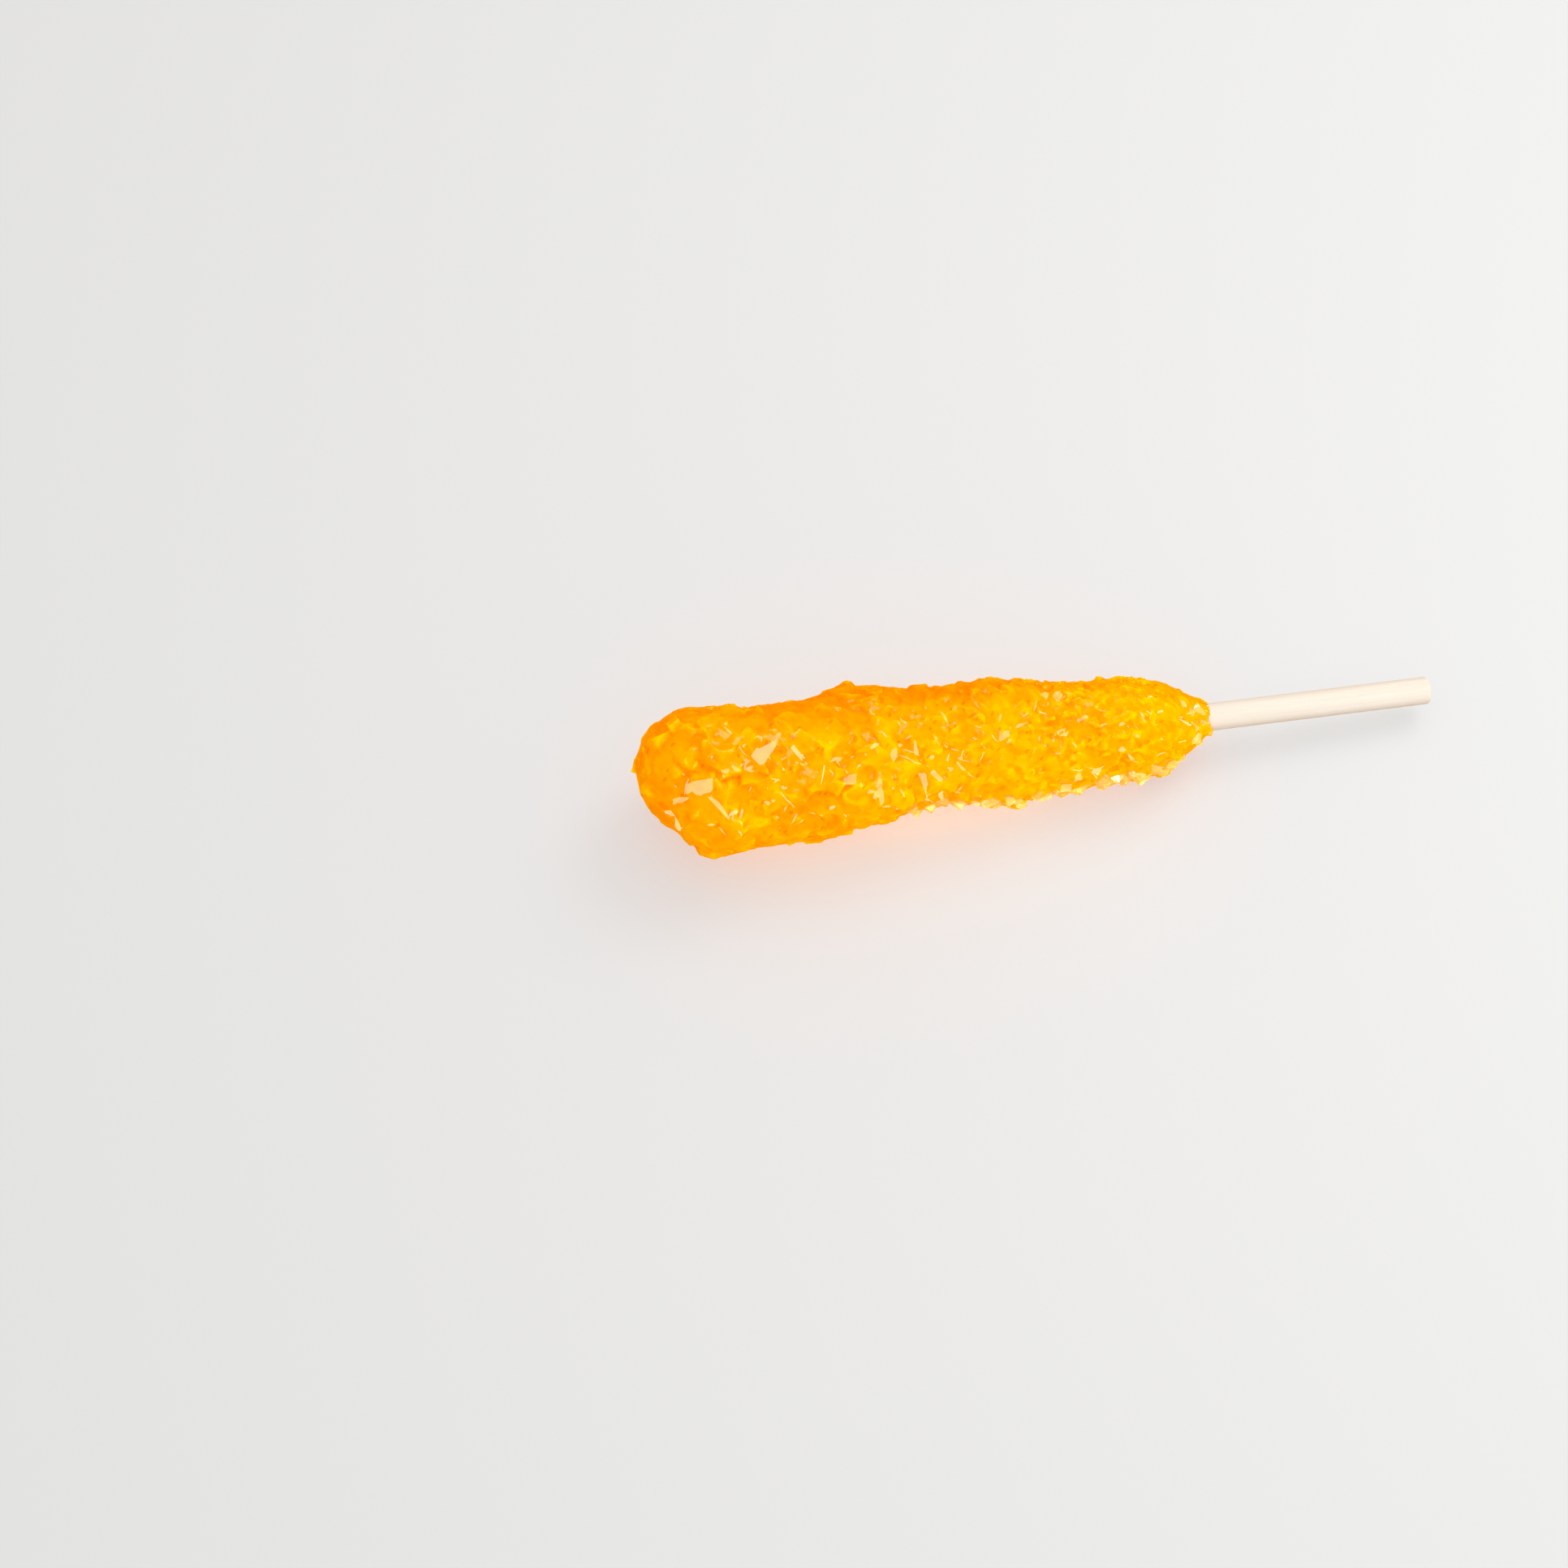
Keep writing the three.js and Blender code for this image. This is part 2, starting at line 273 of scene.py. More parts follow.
def coarse_crystals():
    """The crystals of the solid, in its own order of draws, as (corners, distance)."""
    draw = Draw(COARSE_SEED)
    made = []
    for distance, angle, spacing in spots(draw, coarse_spacing, 0.12):
        shape = drawn_shape(draw, spacing * draw.between(1.12, 1.68), COARSE_KIND)
        lean, heading, roll = draw.between(0.6, 1.35), draw.turn(), draw.between(-1, 1)
        reach = draw.between(-0.9, 0.4)
        made.append((placed(shape, distance, angle, reach, lean, heading, roll), distance))
    for distance, degrees, reach, length in LARGE_CRYSTALS:
        lean, heading = draw.between(0.2, 0.7), draw.turn()
        shape = upright_shape(length, *LARGE_SHARES)
        corners = placed(shape, distance, math.radians(degrees), reach, lean, heading)
        made.append((corners, distance))
    return made


GRAIN_SEED = 7
GRAIN_SPACING = np.array([[0, 1.25], [30, 1.7], [55, 3.6], [80, 6.5]])
GRAIN_FLATNESS = np.array([[25, 0], [55, 1]])
FLAT_ROLL = 0.35


def grains():
    """Smaller crystals between the coarse ones: steep near the collar, lying flat farther on."""
    draw = Draw(GRAIN_SEED)
    made = []
    for distance, angle, spacing in spots(draw, spacing_from(GRAIN_SPACING), 0.2):
        flat = float(interp(GRAIN_FLATNESS, distance))
        shape = drawn_shape(draw, spacing * draw.between(0.9, 1.7), GRAIN_KIND)
        lean = lerp(draw.between(0.3, 1.5), draw.between(1.25, 1.57), flat)
        heading, roll = draw.turn(), draw.between(-1.2, 1.2) * lerp(1, FLAT_ROLL, flat)
        reach = lerp(draw.between(-0.5, 0.05), draw.between(-0.5, 0.2), flat)
        made.append((placed(shape, distance, angle, reach, lean, heading, roll), distance))
    return made


# ---------------- meshes

def part_frame():
    """How the stick's frame is turned in the part's frame, and where the collar is, in metres."""
    low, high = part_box("stick")
    middle = (np.array(low) + np.array(high)) / 2
    along = np.array([math.cos(AXIS_SLOPE), 0, -math.sin(AXIS_SLOPE)])
    up = np.array([math.sin(AXIS_SLOPE), 0, math.cos(AXIS_SLOPE)])
    turn = np.column_stack([along, [0, 1, 0], up])
    collar = middle + along * (STICK_LENGTH / 2 - STICK_BARE_LENGTH) * MM
    return turn, collar


def to_part(points):
    return points @ TURN.T * MM + COLLAR


def in_stick_frame(points):
    return (points - COLLAR) @ TURN / MM


def places_of(mesh):
    """The mesh's points in the stick's own frame."""
    points = np.empty(len(mesh.vertices) * 3, np.float32)
    mesh.vertices.foreach_get("co", points)
    return in_stick_frame(points.reshape(-1, 3).astype(float))


def write_values(mesh, name, values, kind="FLOAT", field="value"):
    """A number or a vector for each point, for the materials to read."""
    attribute = mesh.attributes.new(name, kind, "POINT")
    attribute.data.foreach_set(field, values.astype(np.float32).ravel())


def mesh_object(name, points, faces):
    """An object in the part's frame whose points know their place in the stick's own."""
    mesh = bpy.data.meshes.new(name)
    mesh.from_pydata(to_part(np.asarray(points)).tolist(), [], faces)
    mesh.validate()
    write_values(mesh, "place", places_of(mesh), "FLOAT_VECTOR", "vector")
    obj = bpy.data.objects.new(name, mesh)
    bpy.context.scene.collection.objects.link(obj)
    return obj


def convex_body(corners):
    bm = bmesh.new()
    verts = [bm.verts.new(c) for c in corners]
    bmesh.ops.convex_hull(bm, input=verts)
    return bm


def hull_planes(corners):
    """The convex body round the corners as (outward normal, offset) of each of its planes."""
    bm = convex_body(corners)
    bm.normal_update()
    planes = {}
    for f in bm.faces:
        normal = np.array(f.normal)
        offset = float(normal @ np.array(f.verts[0].co))
        planes[tuple(np.round(normal, 3) + 0.0)] = (normal, offset)
    bm.free()
    return list(planes.values())


def largest_shell(points, faces):
    """The mesh without the specks that don't touch its largest connected shell."""
    neighbours = [[] for _ in points]
    for face in faces:
        for a, b in zip(face, face[1:] + face[:1]):
            neighbours[a].append(b)
            neighbours[b].append(a)
    shell_of = np.full(len(points), -1)
    for seed in range(len(points)):
        waiting = [seed] if shell_of[seed] < 0 else []
        while waiting:
            here = waiting.pop()
            if shell_of[here] < 0:
                shell_of[here] = seed
                waiting += neighbours[here]
    keep = shell_of == np.bincount(shell_of).argmax()
    new_index = np.cumsum(keep) - 1
    return points[keep], [[int(new_index[v]) for v in face] for face in faces if keep[face[0]]]


def joined(shells):
    points, faces, start = [], [], 0
    for p, f in shells:
        points.append(p)
        faces += [[v + start for v in face] for face in f]
        start += len(p)
    return np.concatenate(points), faces


# ---------------- the candy

CANDY_SEED = 31

# The grid that the crystals are melted together on.
GRID_LOW = np.array([-107.5, -17.5, -17.5])
GRID_HIGH = np.array([1.5, 17.5, 17.5])
VOXEL = 0.22
ADAPTIVITY = 0.25
FAR_OUTSIDE = 9.0
BACKGROUND = 5.0
MIDDLE_TINT = 0.5

# The core below the crystals: how deep it lies, the waves in it, in rows of
# (along, across, up, start, size), and how far it ends inside the candy's own ends.
CORE_DEPTH = np.array([[0, 0.35], [12, 1.0], [50, 1.1], [75, 1.1], [106, 1.0]])
CORE_WAVES = [
    (0.42, 0.50, 0.61, 0.0, 0.30),
    (0.83, 0.71, 0.93, 2.1, 0.22),
    (1.31, 1.52, 1.22, 4.0, 0.12),
]
WAVES_FULL_FROM = 25
CORE_COLLAR_GAP = 1.2
CORE_TIP_GAP = 0.8

# How softly a crystal's faces meet, how far they lie inside its corners' hull, and how softly
# crystals merge. SEAM_REACH is how many seams away a crystal still counts.
GRAIN_SOFTNESS = np.array([[0, 0.06], [50, 0.07], [106, 0.1]])
COARSE_SOFTNESS = np.array([[0, 0.14], [40, 0.2], [75, 0.4], [106, 0.5]])
COARSE_SINK = np.array([[0, 0.0], [40, 0.1], [75, 0.12], [106, 0.0]])
LARGE_SINK = -0.35
SEAM_SOFTNESS = np.array([[0, 0.12], [40, 0.16], [75, 0.24], [106, 0.26]])
SEAM_REACH = 5.0
# Limits that keep the exponentials and the logarithm of a soft union finite.
SOLID_LIMITS = (-20, 60)
PLANE_LIMIT = 80
LEAST_TOTAL = 1e-8

# Rounded lumps, in rows of (distance, degrees, how far one stands out, length).
LOBES = [(95.0, 211, 3.3, 8.0), (98.0, 209, 2.4, 7.0)]
LOBE_SHARES = (0.8, 0.75, 0.25)
LOBE_LEAN = 0.3
LOBE_EDGE = 0.8

# Flat facets cut into the bumps. Past a facet's size the cut rises by FACET_RIM a millimetre.
FACET_SEED = 77
FACET_SPACING = np.array([[0, 1.5], [30, 1.8], [55, 2.4], [80, 3.0]])
FACET_RIM = 1.2
FACET_WINDOW = 1.6

# Plates in the surface. Some of those on the shown side lie level instead of along it.
PLATE_SEED = 91
PLATE_SPACING = np.array([[0, 2.6], [30, 3.8], [55, 5.0], [80, 6.0]])
PLATE_RISE = np.array([[20, 0.8], [60, 1.4]])
PLATE_FLARE = 1.12
PLATE_HELPER = (0.31, 0.52, 0.79)
PLATE_TILTS = (0, 0.6)
LEVEL_TILTS = (0, 0.06)
LEVEL_CHANCE = 0.08
LEVEL_LEAST_UP = -0.2
LEVEL_MOST_BACK = 0.1
SEARCH_HEIGHTS = np.arange(3.0, -4.0, -0.1)


class Melt:
    """A soft union of solids on a grid: seams between them fill up, edges get a small radius."""

    def __init__(self):
        counts = np.ceil((GRID_HIGH - GRID_LOW) / VOXEL).astype(int) + 1
        self.axes = [low + VOXEL * np.arange(count) for low, count in zip(GRID_LOW, counts)]
        self.seam = interp(SEAM_SOFTNESS, -self.axes[0]).astype(np.float32)[:, None, None]
        self.total = np.zeros(counts, np.float32)
        self.least = np.full(counts, FAR_OUTSIDE, np.float32)
        self.tint = np.full(counts, MIDDLE_TINT, np.float32)
        self.flat = np.zeros(counts, np.float32)

    def window_between(self, low, high):
        """The part of the grid between two corners of a box, as slices."""
        ends = zip(self.axes, low, high)
        return tuple(slice(*np.searchsorted(axis, (a, b))) for axis, a, b in ends)

    def plane_heights(self, window, a, b, c, offset):
        """How far the window's points lie past a plane, in 32 bits."""
        x, y, z = (axis[w].astype(np.float32) for axis, w in zip(self.axes, window))
        a, b, c = np.float32(a), np.float32(b), np.float32(c)
        return (a * x - np.float32(offset))[:, None, None] + (b * y)[:, None] + c * z

    def index_of(self, points):
        i = np.rint((points - GRID_LOW) / VOXEL).astype(int)
        return tuple(np.clip(i, 0, np.array(self.total.shape) - 1).T)

    def add(self, field, window, tint):
        seam = self.seam[window[0]]
        self.total[window] += np.exp(np.clip(-field / seam, *SOLID_LIMITS))
        nearer = field < self.least[window]
        self.least[window][nearer] = field[nearer]
        self.tint[window][nearer] = tint

    def add_crystal(self, corners, edge, sink, tint):
        """edge is how softly its faces meet, sink how far they lie inside the corners' hull."""
        reach = SEAM_REACH * SEAM_SOFTNESS[-1, 1] + VOXEL
        window = self.window_between(corners.min(0) - reach, corners.max(0) + reach)
        inside = 0
        for normal, offset in hull_planes(corners):
            plane = self.plane_heights(window, *(normal / edge), (offset - sink) / edge)
            inside = inside + np.exp(np.minimum(plane, PLANE_LIMIT))
        self.add(edge * np.log(inside), window, tint)

    def add_core(self):
        axes = (axis.astype(np.float32) for axis in self.axes)
        x, y, z = np.meshgrid(*axes, indexing="ij", sparse=True)
        distance = np.clip(-x, 0, CANDY_LENGTH)
        radius, hang = outline_at(distance)
        slope = np.gradient(radius[:, 0, 0], VOXEL)[:, None, None]
        across, up = y - HANG_DIRECTION[1] * hang, z - HANG_DIRECTION[2] * hang
        waves = sum(
            size * np.sin(a * x + p) * np.sin(b * y + 2 * p) * np.sin(c * z + p)
            for a, b, c, p, size in CORE_WAVES
        )
        depth = interp(CORE_DEPTH, distance) - waves * np.minimum(distance / WAVES_FULL_FROM, 1)
        side = np.hypot(across, up) - radius * swell(distance, np.arctan2(up, across)) + depth
        ends = np.maximum(x + CORE_COLLAR_GAP, -x - CANDY_LENGTH + CORE_TIP_GAP)
        field = np.maximum(side / np.sqrt(1 + slope**2), ends)
        self.add(field.astype(np.float32), (slice(None),) * 3, MIDDLE_TINT)

    def close(self):
        """Turns the sum into one distance field, negative inside."""
        total = np.maximum(self.total, LEAST_TOTAL)
        self.field = (-self.seam * np.log(total)).astype(np.float32)

    def end_at_table(self):
        x, y, z = np.meshgrid(*self.axes, indexing="ij", sparse=True)
        height = TURN[2, 0] * x + TURN[2, 1] * y + TURN[2, 2] * z + COLLAR[2] / MM
        self.field = np.maximum(self.field, -height).astype(np.float32)

    def cut_facet(self, distance, angle, tilt, heading, sink, size):
        """Cuts the bump that stands out most along the facet's normal to a flat face."""
        outward = outline_normal(distance, angle)
        centre = outline_point(distance, angle)
        normal = crystal_turn(outward, tilt, heading, 0)[:, 2]
        reach = size * FACET_WINDOW
        window = self.window_between(centre - reach, centre + reach)
        x, y, z = (axis[w] - middle for axis, w, middle in zip(self.axes, window, centre))
        x, y = x[:, None, None], y[:, None]
        height = normal[0] * x + normal[1] * y + normal[2] * z
        away = np.sqrt(np.maximum(x * x + y * y + z * z - height * height, 0))
        within = (self.field[window] < 0) & (away < size)
        if not within.any():
            return
        top = height[within].max() - sink
        plane = height - top - FACET_RIM * np.maximum(away - size, 0)
        self.field[window] = np.maximum(self.field[window], plane.astype(np.float32))

    def surface_point(self, distance, angle):
        """Where the line out of the stick's side at this place leaves the candy."""
        outward, start = outline_normal(distance, angle), outline_point(distance, angle)
        points = start + outward * SEARCH_HEIGHTS[:, None]
        inside = self.field[self.index_of(points)] < 0
        return points[np.argmax(inside)] if inside.any() else start

    def add_plate(self, distance, angle, normal, spin, rim, rise, thick, tint):
        """Adds a plate whose highest corner stands out of the surface by rise."""
        outward = outline_normal(distance, angle)
        side = np.cross(normal, PLATE_HELPER)
        side /= np.linalg.norm(side)
        first = side * math.cos(spin) + np.cross(normal, side) * math.sin(spin)
        second = np.cross(normal, first)
        corners = np.array([
            first * a * grown + second * b * grown - normal * down
            for down, grown in ((0, 1.0), (thick, PLATE_FLARE)) for a, b in rim
        ])
        lift = rise - (corners @ outward).max()
        corners += self.surface_point(distance, angle) + outward * lift
        window = self.window_between(corners.min(0) - 2 * VOXEL, corners.max(0) + 2 * VOXEL)
        planes = [self.plane_heights(window, *n, offset) for n, offset in hull_planes(corners)]
        field = np.maximum.reduce(planes)
        nearer = field < self.field[window]
        self.tint[window][nearer] = tint
        self.flat[window][nearer] = 1.0
        self.field[window] = np.minimum(self.field[window], field)

    def surface(self, name):
        """The closed surface where the field is zero."""
        grid = openvdb.FloatGrid(BACKGROUND)
        grid.copyFromArray(self.field, tolerance=0)
        points, triangles, quads = grid.convertToPolygons(isovalue=0.0, adaptivity=ADAPTIVITY)
        faces = triangles.tolist() + quads.tolist()
        return mesh_object(name, *largest_shell(points * VOXEL + GRID_LOW, faces))


def cut_facets(melt):
    draw = Draw(FACET_SEED)
    for distance, angle, spacing in spots(draw, spacing_from(FACET_SPACING), 0.25):
        tilt, heading = draw.between(0, 0.4), draw.turn()
        sink, size = spacing * draw.between(0.06, 0.2), spacing * draw.between(0.5, 1.0)
        melt.cut_facet(distance, angle, tilt, heading, sink, size)


def plate_rim(draw, long, wide):
    """An uneven rim of three to five corners."""
    sides = 3 + int(draw() * 3)
    rim = []
    for k in range(sides):
        turn = FULL_TURN * (k + draw.between(-0.22, 0.22)) / sides
        far = draw.between(0.75, 1.0)
        rim.append((math.cos(turn) * long / 2 * far, math.sin(turn) * wide / 2 * far))
    return rim


def add_plates(melt):
    """Flat crystals lying in the surface, crisp where the rest has melted together."""
    draw = Draw(PLATE_SEED)
    for distance, angle, spacing in spots(draw, spacing_from(PLATE_SPACING), 0.4):
        long = spacing * draw.between(0.35, 1.3)
        wide = long * draw.between(0.22, 0.8)
        rim = plate_rim(draw, long, wide)
        outward = outline_normal(distance, angle)
        shown = outward @ LEVEL > LEVEL_LEAST_UP and outward[1] < LEVEL_MOST_BACK
        if draw() < LEVEL_CHANCE and shown:
            normal, tilt = LEVEL, draw.between(*LEVEL_TILTS)
        else:
            normal, tilt = outward, draw.between(*PLATE_TILTS)
        heading, spin = draw.turn(), draw.turn()
        normal = crystal_turn(normal, tilt, heading, 0)[:, 2]
        rise = draw.between(0.1, 0.35) * interp(PLATE_RISE, distance)
        thick, tint = draw.between(1.2, 2.0), draw()
        melt.add_plate(distance, angle, normal, spin, rim, rise, thick, tint)


def write_depth(mesh):
    """How far each point lies outside the candy's outline, in millimetres."""
    places = places_of(mesh)
    distance = np.clip(-places[:, 0], 0, CANDY_LENGTH)
    radius, hang = outline_at(distance)
    y, z = (places - HANG_DIRECTION * hang[:, None])[:, 1:].T
    depth = np.hypot(y, z) - radius * swell(distance, np.arctan2(z, y))
    write_values(mesh, "depth", depth)


def melted_crystals():
    """The core with all its crystals, facets and plates, cut off at the table."""
    draw = Draw(CANDY_SEED)
    melt = Melt()
    melt.add_core()
    coarse = coarse_crystals()
    for n, (corners, distance) in enumerate(coarse):
        large = n >= len(coarse) - len(LARGE_CRYSTALS)
        sink = LARGE_SINK if large else interp(COARSE_SINK, distance)
        melt.add_crystal(corners, interp(COARSE_SOFTNESS, distance), sink, draw())
    for corners, distance in grains():
        melt.add_crystal(corners, interp(GRAIN_SOFTNESS, distance), 0.0, draw())
    for distance, degrees, reach, length in LOBES:
        shape = upright_shape(length, *LOBE_SHARES)
        corners = placed(shape, distance, math.radians(degrees), reach, LOBE_LEAN)
        melt.add_crystal(corners, LOBE_EDGE, 0.0, draw())
    melt.close()
    cut_facets(melt)
    add_plates(melt)
    melt.end_at_table()
    return melt


def make_candy():
    melt = melted_crystals()
    candy = melt.surface("crystals")
    write_depth(candy.data)
    cells = melt.index_of(places_of(candy.data))
    write_values(candy.data, "tint", melt.tint[cells])
    write_values(candy.data, "flat", melt.flat[cells])
    candy.data.shade_smooth()
    return candy


# ---------------- clear crystals

CLEAR_SEED = 53
# Rows of (first and last distance, first and last angle in degrees, how many are tried,
# smallest and largest length).
CLEAR_ZONES = [
    (7, 23, 186, 210, 26, 2.4, 4.2),
    (25, 50, 188, 212, 20, 2.4, 4.2),
    (52, 58, 186, 204, 8, 2.4, 4.0),
    (1.0, 5.0, 80, 200, 12, 1.8, 3.0),
    (29, 33, 68, 80, 2, 1.8, 2.4),
]
CLEAR_BEVEL = 0.08
CLEAR_HEIGHT = 0.3
CLEAR_APART = 1.6
BEVEL_STEPS = 2
SAME_PLANE = 0.02


def clear_crystals():
    """Small crystals partly sunk in the candy, above the table and apart from each other."""
    draw = Draw(CLEAR_SEED)
    shells, centres = [], []
    for first, last, low, high, count, short, long in CLEAR_ZONES:
        for k in range(count):
            distance = lerp(first, last, (k + draw.between(0.1, 0.9)) / count)
            angle = math.radians(draw.between(low, high))
            shape = drawn_shape(draw, draw.between(short, long), CLEAR_KIND)
            lean, heading, roll = draw.between(0.5, 1.5), draw.turn(), draw.between(-1, 1)
            reach = draw.between(0.0, 0.7)
            corners = placed(shape, distance, angle, reach, lean, heading, roll)
            centre = corners.mean(0)
            clear_of_table = to_part(corners)[:, 2].min() > CLEAR_HEIGHT * MM
            if clear_of_table and all(np.linalg.norm(centre - c) > CLEAR_APART for c in centres):
                centres.append(centre)
                shells.append(bevelled(corners, CLEAR_BEVEL))
    return mesh_object("clear_crystals", *joined(shells))


def bevelled(corners, bevel):
    """A closed convex mesh round the corners, its edges eased by a bevel."""
    bm = convex_body(corners)
    loose = [v for v in bm.verts if not v.link_faces]
    bmesh.ops.delete(bm, geom=loose, context="VERTS")
    bmesh.ops.dissolve_limit(bm, angle_limit=SAME_PLANE, verts=bm.verts[:], edges=bm.edges[:])
    bmesh.ops.bevel(
        bm, geom=bm.edges[:], offset=bevel, segments=BEVEL_STEPS, affect="EDGES",
        clamp_overlap=True,
    )
    bm.verts.index_update()
    points = np.array([v.co for v in bm.verts])
    faces = [[v.index for v in f.verts] for f in bm.faces]
    bm.free()
    return points, faces


# ---------------- the stick

STICK_SIDES = 96
STICK_STATIONS = 280
STICK_EDGE = 0.4
EDGE_STEPS = 4

# The wood's fibres, from noise read on a circle at two scales, in (across, along).
GROOVE = 0.035
FIBRE_CIRCLE = 2.2
COARSE_FIBRE = (1.3, 0.012)
FINE_FIBRE = (5, 0.05)
FINE_FIBRE_START = 7
COARSE_SHARE = 0.6

# The rough-cut ends, with rings at these shares of the end's radius.
CUT_RINGS = (0.8, 0.6, 0.4, 0.2)
CUT_ROUGHNESS = 0.12
CUT_SCALE = 1.6


def stick_radius(along, angle):
    """The stick's own radius with long shallow grooves in the grain."""
    x, y = math.cos(angle) * FIBRE_CIRCLE, math.sin(angle) * FIBRE_CIRCLE
    across, lengthwise = COARSE_FIBRE
    coarse = noise.noise((x * across, y * across, along * lengthwise))
    across, lengthwise = FINE_FIBRE
    fine = noise.noise((x * across, y * across, along * lengthwise + FINE_FIBRE_START))
    return STICK_RADIUS + GROOVE * (COARSE_SHARE * coarse + min(fine, 0))


def stick_rings():
    """Rows of (place along the stick, how far the ring is drawn in), with rounded edges."""
    start, end = STICK_BARE_LENGTH - STICK_LENGTH, STICK_BARE_LENGTH
    edge = []
    for k in range(EDGE_STEPS + 1):
        turn = k * math.pi / 2 / EDGE_STEPS
        edge.append((STICK_EDGE * (1 - math.cos(turn)), STICK_EDGE * (1 - math.sin(turn))))
    rings = [(start + step, inset) for step, inset in edge]
    for k in range(1, STICK_STATIONS):
        along = lerp(start + STICK_EDGE, end - STICK_EDGE, k / STICK_STATIONS)
        rings.append((along, 0.0))
    return rings + [(end - step, inset) for step, inset in reversed(edge)]


def add_cut_end(points, faces, along, radius, edge, side):
    """Closes the stick's end. edge is its rim's first point, side is 1 where it starts."""
    last = edge
    for share in CUT_RINGS:
        here = len(points)
        for i in range(STICK_SIDES):
            angle = FULL_TURN * i / STICK_SIDES
            r = radius * share
            y, z = r * math.cos(angle), r * math.sin(angle)
            sunk = CUT_ROUGHNESS * max(noise.noise((y * CUT_SCALE, z * CUT_SCALE, along)), 0)
            points.append((along + side * sunk, y, z))
        for i in range(STICK_SIDES):
            k = (i + 1) % STICK_SIDES
            face = [last + i, last + k, here + k, here + i]
            faces.append(face[::-side])
        last = here
    points.append((along, 0, 0))
    for i in range(STICK_SIDES):
        face = [last + i, last + (i + 1) % STICK_SIDES, len(points) - 1]
        faces.append(face[::-side])


def make_stick():
    rings = stick_rings()
    points, faces = [], []
    for along, inset in rings:
        for i in range(STICK_SIDES):
            angle = FULL_TURN * i / STICK_SIDES
            r = stick_radius(along, angle) - inset
            points.append((along, r * math.cos(angle), r * math.sin(angle)))
    for j in range(len(rings) - 1):
        a, b = j * STICK_SIDES, (j + 1) * STICK_SIDES
        for i in range(STICK_SIDES):
            k = (i + 1) % STICK_SIDES
            faces.append([a + k, b + k, b + i, a + i])
    for ring, side in ((0, 1), (len(rings) - 1, -1)):
        along, inset = rings[ring]
        add_cut_end(points, faces, along, STICK_RADIUS - inset, ring * STICK_SIDES, side)
    stick = mesh_object("wood_stick", points, faces)
    stick.data.shade_smooth()
    return stick


# ---------------- node trees

# A Mix node's sockets for its two values and its result, by what it mixes.
MIX_SOCKETS = {"RGBA": (6, 7, 2), "VECTOR": (4, 5, 1)}


class Nodes:
    """Short names for building a node tree."""

    def __init__(self, tree):
        self.tree = tree

    def add(self, kind, inputs=(), **settings):
        node = self.tree.nodes.new("ShaderNode" + kind)
        for key, value in settings.items():
            setattr(node, key, value)
        for key, value in dict(inputs).items():
            self.put(value, node.inputs[key])
        return node

    def put(self, value, socket):
        if isinstance(value, bpy.types.NodeSocket):
            self.tree.links.new(value, socket)
        else:
            socket.default_value = value

    def attribute(self, name):
        return self.add("Attribute", attribute_name=name).outputs["Fac"]

    def place(self, scale=(1, 1, 1)):
        """The place in the stick's own frame, in millimetres times the scale."""
        vector = self.add("Attribute", attribute_name="place").outputs["Vector"]
        return self.add("Mapping", {"Vector": vector, "Scale": scale}).outputs["Vector"]

    def parts(self, vector):
        """X, Y and Z of a vector or a colour, by name."""
        return self.add("SeparateXYZ", {"Vector": vector}).outputs

    def noise(self, scale, detail=2.0, roughness=0.5, vector=None):
        inputs = {
            "Vector": self.place() if vector is None else vector,
            "Scale": scale,
            "Detail": detail,
            "Roughness": roughness,
        }
        return self.add("TexNoise", inputs).outputs["Fac"]

    def pair(self, kind, operation, a, b):
        node = self.add(kind, operation=operation)
        self.put(a, node.inputs[0])
        self.put(b, node.inputs[1])
        return node

    def math(self, operation, a, b=0.0):
        return self.pair("Math", operation, a, b).outputs["Value"]

    def vector(self, operation, a, b=(0, 0, 0)):
        return self.pair("VectorMath", operation, a, b).outputs["Vector"]

    def total(self, values):
        result = values[0]
        for value in values[1:]:
            result = self.math("ADD", result, value)
        return result

    def ranged(self, value, low, high, to_low=0.0, to_high=1.0):
        """The value's place from low to high, kept within them, as a number between two others."""
        return self.add("MapRange", {
            "Value": value, "From Min": low, "From Max": high, "To Min": to_low, "To Max": to_high,
        }).outputs["Result"]

    def blend(self, kind, share, a, b):
        node = self.add("Mix", data_type=kind)
        first, second, result = MIX_SOCKETS[kind]
        self.put(share, node.inputs["Factor"])
        self.put(a, node.inputs[first])
        self.put(b, node.inputs[second])
        return node.outputs[result]

    def mix(self, share, a, b):
        """A colour between a and b."""
        return self.blend("RGBA", share, a, b)

    def pick(self, share, a, b):
        """A vector between a and b."""
        return self.blend("VECTOR", share, a, b)

    def bump(self, height, distance, strength):
        inputs = {"Height": height, "Distance": distance, "Strength": strength}
        return self.add("Bump", inputs).outputs["Normal"]


def new_material(name):
    material = bpy.data.materials.new(name)
    material.use_nodes = True
    return material, material.node_tree.nodes["Principled BSDF"]


def set_values(shader, values):
    for name, value in values.items():
        shader.inputs[name].default_value = value


# ---------------- the candy's material

# Angles here are measured from the top, positive to the back, and X is along the stick.

BURNT_ORANGE = (1.0, 0.18, 0.0, 1)
DEEP_ORANGE = (1.0, 0.235, 0.0, 1)
ORANGE = (1.0, 0.30, 0.0, 1)
AMBER = (1.0, 0.38, 0.0, 1)
# Rows of (the tone, with its painted light and shade, where a colour begins, where it has replaced
# the last one, colour).
COLOUR_STEPS = [(-0.3, 0.1, DEEP_ORANGE), (0.05, 0.45, ORANGE), (0.4, 0.9, AMBER)]

